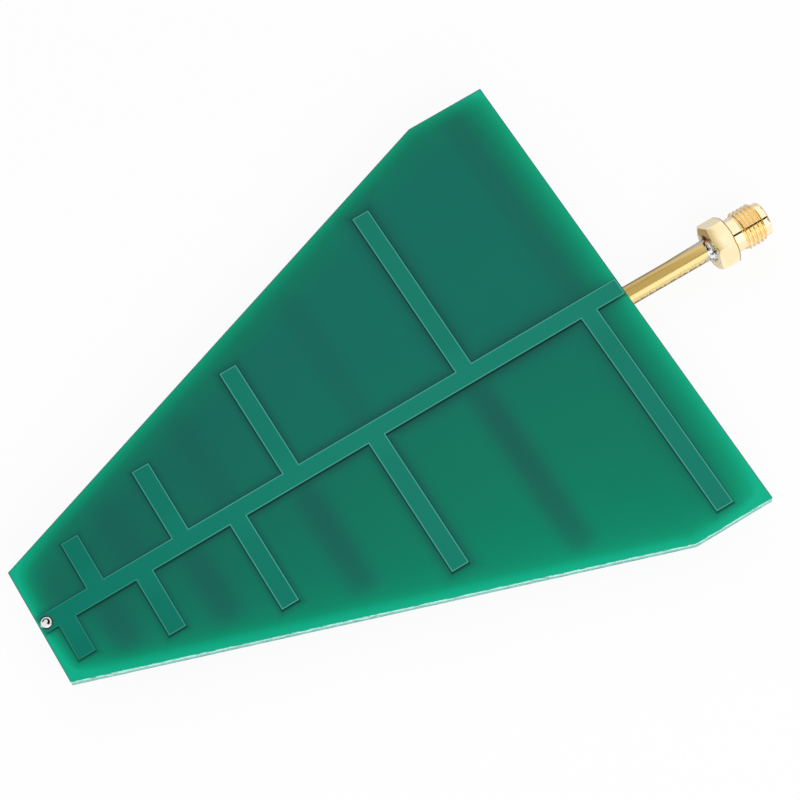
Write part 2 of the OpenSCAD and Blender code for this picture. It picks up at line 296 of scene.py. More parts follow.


# %% [markdown]
# Solder mask over copper and laminate. The real mask is a green lacquer, curtain coated and cured, glossy and
# a little see-through. Over copper it is an even teal. Over bare laminate it takes its tone from the light
# inside the board: light enters the cut edges and leaks out beside them, and copper on the far face holds it
# back and shows as soft dark bars of shade. Real translucent layers under a thin film would be slow and noisy,
# so this light and shade are painted into the colour by distance from the edges and from the copper, which
# holds for every view.

# %% Solder mask
def mask_paint(name, face):
    made, tree = material(name)
    point = board_axes(tree)
    near, far, small_end, jack_end = edges(tree, point)
    # Painted light: the glow that leaks out of the board beside its cut edges
    glows = [
        fade(tree, near, 40, [(0, 1), (0.85, 0.86), (1.8, 0.52), (2.8, 0.38), (4.5, 0.29), (6.5, 0.23),
                              (10, 0.17), (18, 0.10), (28, 0.05), (40, 0)]),
        fade(tree, far, 6, [(0, 0.62), (0.6, 0.44), (1, 0.30), (1.5, 0.21), (2, 0.11), (3, 0.05), (6, 0)]),
        fade(tree, small_end, 9, [(0, 0.88), (0.6, 0.73), (1, 0.53), (1.5, 0.39), (2, 0.29), (2.8, 0.2),
                                  (3.6, 0.14), (4.4, 0.1), (5.2, 0.07), (6, 0.05), (7, 0.03), (9, 0)]),
        fade(tree, jack_end, 6, [(0, 0.82), (0.6, 0.66), (1, 0.55), (1.5, 0.44), (2, 0.33), (3, 0.2), (4, 0.1),
                                 (6, 0)]),
    ]
    # Beside the short arms less of the far side's light is held back by the boom
    narrow = fade(tree, small_end, 70, [(0, 0.8), (12, 0.8), (22, 1), (38, 1), (70, 0)])
    more = fade(tree, far, 7, [(0, 0.05), (0.8, 0.13), (1.2, 0.17), (2, 0.14), (3, 0.1), (4, 0.06), (7, 0)])
    glows.append(add(tree, "Math", {0: more, 1: narrow}, operation="MULTIPLY"))
    glow = glows[0]
    for more in glows[1:]:
        glow = add(tree, "Math", {0: glow, 1: more}, operation="ADD", use_clamp=True)
    # Copper on this face, with 0 mm at its edge, and copper on the far face
    own = past_edge(tree, point, etched(face))
    lit_from = add(tree, "VectorMath", {0: point, 1: (0.06, 0.2, 0)}, operation="ADD")
    shade = past_edge(tree, lit_from, etched(face))
    through = beyond(tree, point, etched(-face), 1.0)
    # Glass cloth in the laminate: threads every 0.6 mm along and across the board
    threads = add(tree, "TexWave", {"Vector": point, "Scale": 1 / (0.6 * 2), "Distortion": 1.2, "Detail": 1},
                  bands_direction="X")
    crossing = add(tree, "TexWave", {"Vector": point, "Scale": 1 / (0.8 * 2), "Distortion": 1.2, "Detail": 1},
                   bands_direction="Y")
    cloud = add(tree, "TexNoise", {"Vector": point, "Scale": 0.12, "Detail": 2})
    weave = add(tree, "Math", {0: threads, 1: crossing}, operation="ADD")
    weave = add(tree, "Math", {0: weave, 1: cloud}, operation="ADD")
    weave = add(tree, "MapRange", {"Value": weave, "From Min": 0.6, "From Max": 2.2, "To Min": 0.975,
                                   "To Max": 1.035})
    ground = add(tree, "ValToRGB", {0: glow}, stops=[(0, "#0e7262"), (0.1, "#097b60"), (0.25, "#038667"),
                                                     (0.45, "#03946f"), (0.7, "#02a47c"), (1, "#0ab68e")])
    unlit = add(tree, "MapRange", {"Value": glow, "To Min": 1.0, "To Max": 0.15})
    # Painted shadow of the far face's copper, which holds back the light coming through the board
    far_copper_shadow = fade(tree, through, 4, [(0, 0.9), (0.6, 0.85), (1.4, 0.6), (2.2, 0.25), (3.4, 0)])
    lifted = add(tree, "MapRange", {"Value": glow, "From Min": 0.05, "From Max": 0.6, "To Min": 1.0, "To Max": 0.1})
    far_copper_shadow = add(tree, "Math", {0: far_copper_shadow, 1: lifted}, operation="MULTIPLY")
    # The painted shadow bars are faint on the far side, where less light comes through from below
    across = add(tree, "SeparateXYZ", {0: point}).node.outputs["Y"]
    clear = add(tree, "MapRange", {"Value": across, "From Min": -8, "From Max": 6, "To Min": 1.0, "To Max": 0.42})
    far_copper_shadow = add(tree, "Math", {0: far_copper_shadow, 1: clear}, operation="MULTIPLY")
    ground = add(tree, "Mix", {0: far_copper_shadow, 6: ground, 7: linear("#186057")}, data_type="RGBA")
    # Painted shade beside this face's copper, which holds back the light inside the laminate
    laminate_shade = fade(tree, own, 4, [(0, 0.8), (0.5, 0.6), (1, 0.4), (2, 0.15), (3.6, 0)])
    laminate_shade = add(tree, "Math", {0: laminate_shade, 1: unlit}, operation="MULTIPLY")
    # Next to the jack's end the edge lights the laminate, and the shade beside the long arm is weak
    open_end = add(tree, "MapRange", {"Value": jack_end, "From Min": 3, "From Max": 14, "To Min": 0.35})
    laminate_shade = add(tree, "Math", {0: laminate_shade, 1: open_end}, operation="MULTIPLY")
    # Painted shade: the inside of the board is dimmer towards the small end, where more of it is covered with copper
    dim = fade(tree, small_end, 70, [(0, 0.66), (18, 0.62), (28, 0.5), (40, 0.34), (55, 0.14), (70, 0)])
    dim = add(tree, "Math", {0: dim, 1: lifted}, operation="MULTIPLY")
    laminate_shade = add(tree, "Math", {0: laminate_shade, 1: dim}, operation="MAXIMUM")
    ground = add(tree, "Mix", {0: laminate_shade, 6: ground, 7: linear("#165a55")}, data_type="RGBA")
    ground = add(tree, "VectorMath", {0: ground, "Scale": weave}, operation="SCALE")
    # Across the step: a painted shadow, a dark line outside the trace broadest on its shaded sides, and a light
    # line on its rim
    tint = add(tree, "MapRange", {"Value": small_end, "From Min": 5, "From Max": 55})
    trace = add(tree, "Mix", {0: tint, 6: linear("#077b68"), 7: linear("#148571")}, data_type="RGBA")
    # The arms are a shade deeper than the boom
    off_boom = add(tree, "Math", {0: across}, operation="ABSOLUTE")
    deeper = add(tree, "MapRange", {"Value": off_boom, "From Min": 2, "From Max": 6, "To Min": 1.0, "To Max": 0.91})
    trace = add(tree, "VectorMath", {0: trace, "Scale": deeper}, operation="SCALE")
    # The painted shadow of the copper step, offset towards its shaded sides
    step_shadow = add(tree, "MapRange", {"Value": own, "From Min": 0.2, "From Max": 0.02, "To Max": 0.75})
    shaded = add(tree, "MapRange", {"Value": shade, "From Min": 0.32, "From Max": -0.02, "To Max": 1.0})
    step_shadow = add(tree, "Math", {0: step_shadow, 1: shaded}, operation="MAXIMUM")
    soft = add(tree, "MapRange", {"Value": shade, "From Min": 1.1, "From Max": 0.2, "To Max": 0.18})
    soft = add(tree, "Math", {0: soft, 1: open_end}, operation="MULTIPLY")
    step_shadow = add(tree, "Math", {0: step_shadow, 1: soft}, operation="MAXIMUM")
    veil = add(tree, "MapRange", {"Value": glow, "To Min": 1.0, "To Max": 0.5})
    step_shadow = add(tree, "Math", {0: step_shadow, 1: veil}, operation="MULTIPLY")
    rim = add(tree, "MapRange", {"Value": own, "From Min": -0.20, "From Max": -0.13})
    rim_end = add(tree, "MapRange", {"Value": small_end, "From Min": 2, "From Max": 30, "To Min": 0.18,
                                     "To Max": 0.85})
    rim = add(tree, "Math", {0: rim, 1: rim_end}, operation="MULTIPLY")
    inside = add(tree, "MapRange", {"Value": own, "From Min": 0.01, "From Max": -0.03})
    ground = add(tree, "Mix", {0: step_shadow, 6: ground, 7: linear("#00352d")}, data_type="RGBA")
    trace = add(tree, "Mix", {0: rim, 6: trace, 7: linear("#50ac9c")}, data_type="RGBA")
    colour = add(tree, "Mix", {0: inside, 6: ground, 7: trace}, data_type="RGBA")
    # The sawn rim of the lacquer, a thin grey line on all sides but the near one
    rims = add(tree, "Math", {0: far, 1: small_end}, operation="MINIMUM")
    rims = add(tree, "Math", {0: rims, 1: jack_end}, operation="MINIMUM")
    rims = add(tree, "MapRange", {"Value": rims, "From Min": 0.16, "From Max": 0.06, "To Max": 0.9})
    colour = add(tree, "Mix", {0: rims, 6: colour, 7: linear("#3a6a68")}, data_type="RGBA")
    # A few white dust specks, and an orange-peel skin about 1.5 mm from bump to bump
    dust = add(tree, "TexVoronoi", {"Vector": point, "Scale": 0.16}, distance="EUCLIDEAN")
    speck = add(tree, "MapRange", {"Value": dust, "From Min": 0.018, "From Max": 0.012})
    rare = add(tree, "Math", {0: dust.node.outputs["Color"], 1: 0.86}, operation="GREATER_THAN")
    speck = add(tree, "Math", {0: speck, 1: rare}, operation="MULTIPLY")
    colour = add(tree, "Mix", {0: speck, 6: colour, 7: linear("#c8e0da")}, data_type="RGBA")
    peel = add(tree, "TexNoise", {"Vector": point, "Scale": 0.7, "Detail": 2})
    bump = add(tree, "Bump", {"Height": peel, "Strength": 0.3, "Distance": 0.004 * MM})
    gloss = add(tree, "MapRange", {"Value": peel, "To Min": 0.3, "To Max": 0.42})
    skin = add(tree, "BsdfPrincipled", {"Base Color": colour, "Roughness": gloss, "Specular IOR Level": 0.08,
                                        "Normal": bump})
    add(tree, "OutputMaterial", {"Surface": skin})
    return made


def finish_node(node, made):
    """Gives a CAD node its finish in every material slot."""
    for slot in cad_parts[node].material_slots:
        slot.material = made


finish_node("front_mask", mask_paint("green_solder_mask_front", 1))
finish_node("back_mask", mask_paint("green_solder_mask_back", -1))
print("nodes in the front mask:", len(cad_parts["front_mask"].material_slots[0].material.node_tree.nodes))

# %% [markdown]
# Glass and epoxy laminate. Only its cut edge shows: milky green glass cloth in layers, two pale bands with a
# darker seam, rough from the router, with broken white glass ends. A flat pale colour would look like plastic.
# The bands follow the height in the board, and the roughness of the cut is noise stretched along the edge.

# %% Laminate edge
cut_glass, tree = material("glass_epoxy_laminate_cut")
place = add(tree, "TexCoord").node.outputs["Object"]
height = add(tree, "SeparateXYZ", {0: place}).node.outputs["Z"]
share = add(tree, "MapRange", {"Value": height, "From Min": BACK_Z * MM, "From Max": FRONT_Z * MM})
fibres = add(tree, "Mapping", {"Vector": place, "Scale": (700, 700, 2500)})
fibres = add(tree, "TexNoise", {"Vector": fibres, "Scale": 1.0, "Detail": 4, "Roughness": 0.6})
wander = add(tree, "Math", {0: fibres, 1: 0.5}, operation="SUBTRACT")
share = add(tree, "Math", {0: wander, 1: 1.3, 2: share}, operation="MULTIPLY_ADD")
bands = add(tree, "ValToRGB", {0: share}, stops=[
    (0.0, "#4f8f86"), (0.1, "#7cb8ae"), (0.38, "#8cc6bc"), (0.46, "#54948a"), (0.54, "#a4dfd7"),
    (0.86, "#c4efe8"), (0.94, "#6aaa9e"), (1.0, "#3c8478")])
chips = add(tree, "TexVoronoi", {"Vector": place, "Scale": 3500}, distance="EUCLIDEAN")
chip = add(tree, "MapRange", {"Value": chips, "From Min": 0.22, "From Max": 0.1, "To Max": 0.8})
rare = add(tree, "Math", {0: chips.node.outputs["Color"], 1: 0.78}, operation="GREATER_THAN")
chip = add(tree, "Math", {0: chip, 1: rare}, operation="MULTIPLY")
bands = add(tree, "Mix", {0: chip, 6: bands, 7: linear("#e6f6f2")}, data_type="RGBA")
bump = add(tree, "Bump", {"Height": fibres, "Strength": 0.6, "Distance": 0.05 * MM})
skin = add(tree, "BsdfPrincipled", {"Base Color": bands, "Roughness": 0.55, "Specular IOR Level": 0.3,
                                    "Normal": bump})
add(tree, "OutputMaterial", {"Surface": skin})
finish_node("laminate", cut_glass)

# %% [markdown]
# Copper under the mask. It is rolled foil, etched, and stays bare only in the ring round the feed joint and in
# the strip that carries the coax. There the flux of soldering has browned it, darkest next to the joint. So
# the copper is a metal whose tone falls towards dark flux near the feed hole, with fine rolling lines along the
# boom, drawn 0.1 mm apart so that they can show.

# %% Copper
etched_copper, tree = material("etched_copper_foil")
point = board_axes(tree)
lines = add(tree, "Mapping", {"Vector": point, "Scale": (0.3, 10, 1)})
lines = add(tree, "TexNoise", {"Vector": lines, "Scale": 1.0, "Detail": 3})
hole = add(tree, "VectorMath", {0: point, 1: (FEED_AT, 0, 0)}, operation="DISTANCE").node.outputs["Value"]
flux = fade(tree, hole, 3, [(0, 1), (1.05, 0.95), (1.6, 0.4), (3, 0)])
foil = add(tree, "Mix", {0: lines, 6: linear("#a8643c"), 7: linear("#d08a5c")}, data_type="RGBA")
foil = add(tree, "Mix", {0: flux, 6: foil, 7: linear("#1c1712")}, data_type="RGBA")
rough = add(tree, "MapRange", {"Value": lines, "To Min": 0.28, "To Max": 0.5})
skin = add(tree, "BsdfPrincipled", {"Base Color": foil, "Metallic": 1.0, "Roughness": rough})
add(tree, "OutputMaterial", {"Surface": skin})
finish_node("front_copper", etched_copper)
finish_node("back_copper", etched_copper)

# %% [markdown]
# Helpers for turned and lofted pieces. The jack, its insides and the solder are round about the coax axis or
# run along it, so each can be a stack of rings skinned with quads. A screw modifier would give plain turned
# shapes only; rings whose radius may change with the angle also give the hexagon and the thread.

# %% Rings into a mesh
def piece_from(name, rows, made, loop=False, caps=False, sharp=32):
    """Skins rows of points, each a closed ring of the same length, and links the piece."""
    count = len(rows[0])
    verts = [Vector(p) * MM for row in rows for p in row]
    faces = []
    for r in range(len(rows) if loop else len(rows) - 1):
        a, b = r * count, (r + 1) % len(rows) * count
        faces += [(a + i, a + (i + 1) % count, b + (i + 1) % count, b + i) for i in range(count)]
    if caps:
        faces.append(tuple(range(count - 1, -1, -1)))
        faces.append(tuple(range(len(verts) - count, len(verts))))
    mesh = bpy.data.meshes.new(name)
    mesh.from_pydata(verts, [], faces)
    mesh.shade_smooth()
    mesh.set_sharp_from_angle(angle=radians(sharp))
    mesh.materials.append(made)
    piece = bpy.data.objects.new(name, mesh)
    bpy.context.scene.collection.objects.link(piece)
    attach(piece, "root")
    print(name, "faces:", len(faces))
    return piece


def turned(x, radius, angles):
    """A ring round the coax axis at x, with its radius as a number or as a function of the angle from +Y."""
    return [(x, cos(a) * r, sin(a) * r) for a in angles for r in [radius(a) if callable(radius) else radius]]


# %% [markdown]
# Gold plate over turned brass. The jack is brass, turned and milled, then plated with hard gold a micron thick,
# which keeps the fine tool lines. It reflects like a mirror with a faint grain, pale where it faces the light
# and deep yellow where gold reflects gold, as in the thread. The tool lines run round the axis, drawn 0.12 mm
# apart so that they can show.

# %% Gold plate
def gold_plate(name, grain):
    made, tree = material(name)
    place = add(tree, "TexCoord").node.outputs["Object"]
    lines = add(tree, "Mapping", {"Vector": place, "Scale": grain})
    lines = add(tree, "TexNoise", {"Vector": lines, "Scale": 1.0, "Detail": 3, "Roughness": 0.6})
    blotch = add(tree, "TexNoise", {"Vector": place, "Scale": 500, "Detail": 2})
    blotch = add(tree, "MapRange", {"Value": blotch, "From Min": 0.35, "From Max": 0.65})
    tone = add(tree, "Mix", {0: blotch, 6: linear("#f6e2b6"), 7: linear("#fbecc6")}, data_type="RGBA")
    # Painted reflection: in the cuts of the thread gold mirrors gold, so the plate is painted deeper there
    off_axis = add(tree, "VectorMath", {0: place, 1: (0, 1, 1)}, operation="MULTIPLY")
    off_axis = add(tree, "VectorMath", {0: off_axis}, operation="LENGTH").node.outputs["Value"]
    painted_gold_reflection = add(tree, "MapRange", {"Value": off_axis, "From Min": 3.15 * MM, "From Max": 2.85 * MM})
    along = add(tree, "SeparateXYZ", {0: place}).node.outputs["X"]
    cut = add(tree, "Math", {0: along, 1: -0.95 * MM, 2: 1.8 * MM}, operation="COMPARE")
    painted_gold_reflection = add(tree, "Math", {0: painted_gold_reflection, 1: cut}, operation="MULTIPLY")
    tone = add(tree, "Mix", {0: painted_gold_reflection, 6: tone, 7: linear("#f5d799")}, data_type="RGBA")
    # Painted reflection: a thin brown line on the hexagon's flats, where they meet the cone of the front chamfer,
    # standing for the dark edge mirrored there
    rim = add(tree, "Math", {0: off_axis, 1: tan(radians(25)), 2: along}, operation="MULTIPLY_ADD")
    rim = add(tree, "Math", {0: rim, 1: -2.925 * MM, 2: 0.075 * MM}, operation="COMPARE")
    outer = add(tree, "Math", {0: off_axis, 1: 3.3 * MM}, operation="GREATER_THAN")
    rim = add(tree, "Math", {0: rim, 1: outer}, operation="MULTIPLY")
    tone = add(tree, "Mix", {0: rim, 6: tone, 7: linear("#a07e4e")}, data_type="RGBA")
    wear = add(tree, "MapRange", {"Value": lines, "To Min": 0.02, "To Max": 0.12})
    bump = add(tree, "Bump", {"Height": lines, "Strength": 0.35, "Distance": 0.0025 * MM})
    skin = add(tree, "BsdfPrincipled", {"Base Color": tone, "Metallic": 1.0, "Roughness": wear, "Normal": bump})
    add(tree, "OutputMaterial", {"Surface": skin})
    return made


turned_gold = gold_plate("gold_plate_turned", (8000, 300, 300))

# %% [markdown]
# The jack's body. On the real jack a hexagon for the spanner, a neck, a thread and a short plain pilot are one
# turned piece. The plain solid has a smooth cylinder for the thread. A thread could be a bump only, but its
# crests stand out of the outline, so the thread is real: a helix of 36 turns to the inch, cut 0.38 mm deep.

# %% Jack body
HEX_AF, HEX_TURN, HEX_EASE = 7.0, radians(38 - 90), 0.15
HEX_BACK, HEX_FRONT, HEX_FACE_R = -7.8, -4.45, 3.44
NECK_R, NECK_FRONT = 2.7, -2.8
THREAD_R, THREAD_FRONT, PITCH = 3.175, 0.85, 25.4 / 36
THREAD_DEPTH = PITCH * 5 / 16 / tan(radians(30))
MOUTH_X, MOUTH_R, BODY_BORE = 1.9, 2.3, 2.07
JACKET_R, COAX_BORE, RECESS_R, RECESS_X = 1.59, 1.64, 2.3, -7.2
INSULATOR_BACK = -4.2

ease_middle = (HEX_AF / 2 - HEX_EASE) / cos(radians(30))
ease_turn = atan2(HEX_EASE * sin(radians(30)), ease_middle + HEX_EASE * cos(radians(30)))
jack_angles = []
for corner in range(6):
    start = HEX_TURN + corner * radians(60)
    jack_angles += [start + ease_turn * f for f in (-1, -0.5, 0, 0.5, 1)]
    jack_angles += [start + ease_turn + (radians(60) - 2 * ease_turn) * i / 22 for i in range(1, 22)]


def hexagon(angle):
    """Radius of the hexagon, with its six corners eased."""
    off = abs((angle - HEX_TURN + radians(30)) % radians(60) - radians(30))
    if off < ease_turn:
        return ease_middle * cos(off) + sqrt(max(HEX_EASE ** 2 - (ease_middle * sin(off)) ** 2, 0))
    return HEX_AF / 2 / cos(radians(30) - off)


def thread(x):
    """Radius along the helix at x: crest an eighth of the pitch wide, root a quarter, flanks at 60 degrees."""
    lead = min(THREAD_R, NECK_R + 0.05 + min(x - NECK_FRONT, THREAD_FRONT - x) * 1.2)

    def radius(angle):
        phase = abs((x / PITCH - angle / (2 * pi)) % 1 - 0.5)
        cut = min(max((phase - 1 / 16) / (5 / 16), 0), 1)
        return max(min(THREAD_R - THREAD_DEPTH * cut, lead), THREAD_R - THREAD_DEPTH)
    return radius


def chamfered(x):
    """Hexagon cut by the cone of its chamfer at both ends."""
    inside = min(x - HEX_BACK, HEX_FRONT - x)
    reach = HEX_FACE_R + inside / tan(radians(25))
    return lambda angle: min(hexagon(angle), reach)


rows = [turned(RECESS_X, RECESS_R, jack_angles), turned(HEX_BACK + 0.05, RECESS_R, jack_angles),
        turned(HEX_BACK, RECESS_R + 0.05, jack_angles), turned(HEX_BACK, 3.2, jack_angles)]
chamfer_steps = [0.3 * i / 20 for i in range(21)]
rows += [turned(HEX_BACK + d, chamfered(HEX_BACK + d), jack_angles) for d in chamfer_steps]
rows += [turned(HEX_FRONT - d, chamfered(HEX_FRONT - d), jack_angles) for d in reversed(chamfer_steps)]
rows += [turned(HEX_FRONT, 3.2, jack_angles), turned(HEX_FRONT, NECK_R + 0.08, jack_angles),
         turned(HEX_FRONT + 0.08, NECK_R, jack_angles), turned(NECK_FRONT, NECK_R, jack_angles)]
thread_rows = 78
for i in range(thread_rows + 1):
    x = NECK_FRONT + (THREAD_FRONT - NECK_FRONT) * i / thread_rows
    rows.append(turned(x, thread(x), jack_angles))
for x, r in ((THREAD_FRONT, NECK_R), (MOUTH_X - 0.15, NECK_R), (MOUTH_X - 0.04, NECK_R - 0.06),
             (MOUTH_X, NECK_R - 0.15), (MOUTH_X, MOUTH_R + 0.06), (MOUTH_X - 0.06, MOUTH_R), (0, MOUTH_R),
             (0, BODY_BORE), (INSULATOR_BACK, BODY_BORE), (INSULATOR_BACK, COAX_BORE), (RECESS_X, COAX_BORE)):
    rows.append(turned(x, r, jack_angles))
jack_body = piece_from("jack_body_turned", rows, turned_gold, loop=True)
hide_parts("jack_body")

# %% [markdown]
# Inside the jack. A bead of fluoroplastic holds the contact, a gold-plated socket with four sprung fingers. The
# solids already have these shapes, so only their finish is added: soft waxy white for the bead, the same gold
# for the contact.

# %% Bead, contact and dielectric
fluoroplastic, tree = material("fluoroplastic_turned")
place = add(tree, "TexCoord").node.outputs["Object"]
cloud = add(tree, "TexNoise", {"Vector": place, "Scale": 900, "Detail": 3})
tone = add(tree, "Mix", {0: cloud, 6: linear("#e6e6e0"), 7: linear("#f2f2ee")}, data_type="RGBA")
bump = add(tree, "Bump", {"Height": cloud, "Strength": 0.3, "Distance": 0.03 * MM})
skin = add(tree, "BsdfPrincipled", {"Base Color": tone, "Roughness": 0.42, "Subsurface Weight": 0.15,
                                    "Subsurface Radius": (0.001, 0.001, 0.001), "Subsurface Scale": 0.6,
                                    "IOR": 1.38, "Normal": bump})
add(tree, "OutputMaterial", {"Surface": skin})
finish_node("jack_insulator", fluoroplastic)
finish_node("coax_dielectric", fluoroplastic)
finish_node("jack_contact", gold_plate("gold_plate_contact", (5000, 500, 500)))

# %% [markdown]
# The rigid coax. Its outer conductor is a drawn brass-coloured tube. Drawing leaves fine streaks along it, and
# handling leaves small dark specks. Its upper back is painted darker, a painted reflection. Near the jack it is
# wetted with solder, which is why it turns silver there, and a silver wedge along its upper back is partly that
# solder and partly a painted highlight.
# The plain solid is a tube with facets, so a finer one takes its place, and the streaks are noise stretched
# along the tube, about 0.1 mm apart round it.

# %% Brass tube
drawn_brass, tree = material("drawn_brass_tube")
place = add(tree, "TexCoord").node.outputs["Object"]
streaks = add(tree, "Mapping", {"Vector": place, "Scale": (180, 9000, 9000)})
streaks = add(tree, "TexNoise", {"Vector": streaks, "Scale": 1.0, "Detail": 4, "Roughness": 0.65})
cloud = add(tree, "TexNoise", {"Vector": place, "Scale": 350, "Detail": 3})
tone = add(tree, "Mix", {0: streaks, 6: linear("#d8bd80"), 7: linear("#efd8a0")}, data_type="RGBA")
tone = add(tree, "Mix", {0: cloud, 6: tone, 7: linear("#e4ca8c")}, data_type="RGBA")
dots = add(tree, "TexVoronoi", {"Vector": place, "Scale": 1400}, distance="EUCLIDEAN")
dot = add(tree, "MapRange", {"Value": dots, "From Min": 0.16, "From Max": 0.08, "To Max": 0.7})
rare = add(tree, "Math", {0: dots.node.outputs["Color"], 1: 0.72}, operation="GREATER_THAN")
dot = add(tree, "Math", {0: dot, 1: rare}, operation="MULTIPLY")
tone = add(tree, "Mix", {0: dot, 6: tone, 7: linear("#4a3a20")}, data_type="RGBA")
split = add(tree, "SeparateXYZ", {0: place}).node
along = split.outputs["X"]
# How far a spot lies up and to the back, in mm: there the brass is painted darker as a painted reflection,
# and dried flux sits low on the near side
lean = add(tree, "VectorMath", {0: place, 1: (0, 0.93 / MM, 0.37 / MM)}, operation="DOT_PRODUCT").node.outputs["Value"]
painted_upper_reflection = add(tree, "MapRange", {"Value": lean, "From Min": 0.5, "From Max": 1.5, "To Max": 0.85})
tone = add(tree, "Mix", {0: painted_upper_reflection, 6: tone, 7: linear("#b39a62")}, data_type="RGBA")
soil = add(tree, "TexNoise", {"Vector": place, "Scale": 2600, "Detail": 3, "Roughness": 0.7})
low = add(tree, "MapRange", {"Value": lean, "From Min": -1.05, "From Max": -1.5, "To Max": 0.34})
soil = add(tree, "Math", {0: soil, 1: low}, operation="ADD")
soil = add(tree, "MapRange", {"Value": soil, "From Min": 0.68, "From Max": 0.78, "To Max": 0.85})
tone = add(tree, "Mix", {0: soil, 6: tone, 7: linear("#5c4a34")}, data_type="RGBA")
ragged = add(tree, "Math", {0: cloud, 1: 0.0016, 2: along}, operation="MULTIPLY_ADD")
ragged = add(tree, "Math", {0: lean, 1: -0.9 * MM, 2: ragged}, operation="MULTIPLY_ADD")
tinned = add(tree, "MapRange", {"Value": ragged, "From Min": -7.5 * MM, "From Max": -7.1 * MM})
# A silver wedge on the upper back towards the jack: solder wetting the flare, and partly a painted highlight
solder_and_highlight_wedge = add(tree, "MapRange", {"Value": along, "From Min": -15 * MM, "From Max": -8 * MM})
solder_and_highlight_wedge = add(tree, "Math", {0: solder_and_highlight_wedge, 1: 0.35, 2: lean}, operation="MULTIPLY_ADD")
solder_and_highlight_wedge = add(tree, "MapRange", {"Value": solder_and_highlight_wedge, "From Min": 1.62, "From Max": 1.72})
ahead_of = add(tree, "MapRange", {"Value": along, "From Min": -15.5 * MM, "From Max": -14 * MM})
solder_and_highlight_wedge = add(tree, "Math", {0: solder_and_highlight_wedge, 1: ahead_of}, operation="MULTIPLY")
tinned = add(tree, "Math", {0: tinned, 1: solder_and_highlight_wedge}, operation="MAXIMUM")
tone = add(tree, "Mix", {0: tinned, 6: tone, 7: linear("#b4b1b6")}, data_type="RGBA")
rough = add(tree, "MapRange", {"Value": streaks, "To Min": 0.1, "To Max": 0.26})
bump = add(tree, "Bump", {"Height": streaks, "Strength": 0.35, "Distance": 0.004 * MM})
skin = add(tree, "BsdfPrincipled", {"Base Color": tone, "Metallic": 1.0, "Roughness": rough, "Normal": bump})
add(tree, "OutputMaterial", {"Surface": skin})

TUBE_BACK, TUBE_FRONT, CORE_R = -120.45, -4.2, 1.32
round_angles = [2 * pi * i / 96 for i in range(96)]
rows = [turned(TUBE_BACK, CORE_R, round_angles), turned(TUBE_BACK, JACKET_R - 0.03, round_angles),
        turned(TUBE_BACK + 0.03, JACKET_R, round_angles)]
for i in range(1, 121):
    x = TUBE_BACK + (TUBE_FRONT - TUBE_BACK) * i / 120
    run = max(min((x + 15) / 7, 1), 0) * max(min((HEX_BACK + 0.2 - x) / 0.4, 1), 0)
    rows.append(turned(x, lambda a: JACKET_R + 0.2 * run * max(cos((a - radians(25)) * 2.2), 0)
                       * (abs(a - radians(25)) < radians(41)), round_angles))
rows.append(turned(TUBE_FRONT, CORE_R, round_angles))
tube = piece_from("coax_tube_drawn", rows, drawn_brass, loop=True)
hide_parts("coax_jacket")

# %% [markdown]
# Solder. Tin alloy that was liquid for a second: it wets the metal, rises in a smooth hollow curve and freezes
# with a bright, slightly dimpled skin. Near the jack some orange-brown flux was left on it. The joints could
# be blobs of metaballs, but each must meet its copper and its coax exactly, so they are skinned rings whose
# points wander a little by a fixed noise.

# %% Solder finish
bright_solder, tree = material("bright_tin_solder")
place = add(tree, "TexCoord").node.outputs["Object"]
cloud = add(tree, "TexNoise", {"Vector": place, "Scale": 1200, "Detail": 3})
tone = add(tree, "Mix", {0: cloud, 6: linear("#d0d2d6"), 7: linear("#f8f9fa")}, data_type="RGBA")
split = add(tree, "SeparateXYZ", {0: place}).node
off_axis = add(tree, "VectorMath", {0: place, 1: (0, 1, 1)}, operation="MULTIPLY")
off_axis = add(tree, "VectorMath", {0: off_axis}, operation="LENGTH").node.outputs["Value"]
behind = add(tree, "MapRange", {"Value": split.outputs["X"], "From Min": -9.2 * MM, "From Max": -8.6 * MM})
upper = add(tree, "MapRange", {"Value": split.outputs["Y"], "From Min": -0.2 * MM, "From Max": 0.7 * MM})
amber = add(tree, "Math", {0: behind, 1: upper}, operation="MULTIPLY")
tone = add(tree, "Mix", {0: amber, 6: tone, 7: linear("#b06a24")}, data_type="RGBA")
# Dark patches near the jack are painted shade, for the shade in the gap between the tube and the hexagon's rear face
painted_gap_shade = add(tree, "TexNoise", {"Vector": place, "Scale": 1700, "Detail": 3, "Roughness": 0.7})
painted_gap_shade = add(tree, "MapRange", {"Value": painted_gap_shade, "From Min": 0.5, "From Max": 0.58})
painted_gap_shade = add(tree, "Math", {0: painted_gap_shade, 1: behind}, operation="MULTIPLY")
tone = add(tree, "Mix", {0: painted_gap_shade, 6: tone, 7: linear("#221a12")}, data_type="RGBA")
# Painted reflection: a dark crescent round the end of the wire in the feed joint
from_wire = add(tree, "VectorMath", {0: place, 1: (FEED_X * MM, 0, 0)}, operation="SUBTRACT")
from_wire = add(tree, "VectorMath", {0: from_wire, 1: (1 / MM, 1 / MM, 0)}, operation="MULTIPLY")
radius = add(tree, "VectorMath", {0: from_wire}, operation="LENGTH").node.outputs["Value"]
dark_reflection_crescent = add(tree, "ValToRGB", {0: radius}, stops=[(0.27, 0.0), (0.34, 1.0), (0.56, 1.0), (0.63, 0.0)])
facing = add(tree, "VectorMath", {0: from_wire, 1: (-0.8, -0.6, 0)}, operation="DOT_PRODUCT").node.outputs["Value"]
facing = add(tree, "MapRange", {"Value": facing, "From Min": 0.26, "From Max": 0.16})
dark_reflection_crescent = add(tree, "Math", {0: dark_reflection_crescent, 1: facing}, operation="MULTIPLY")
tone = add(tree, "Mix", {0: dark_reflection_crescent, 6: tone, 7: linear("#15110f")}, data_type="RGBA")
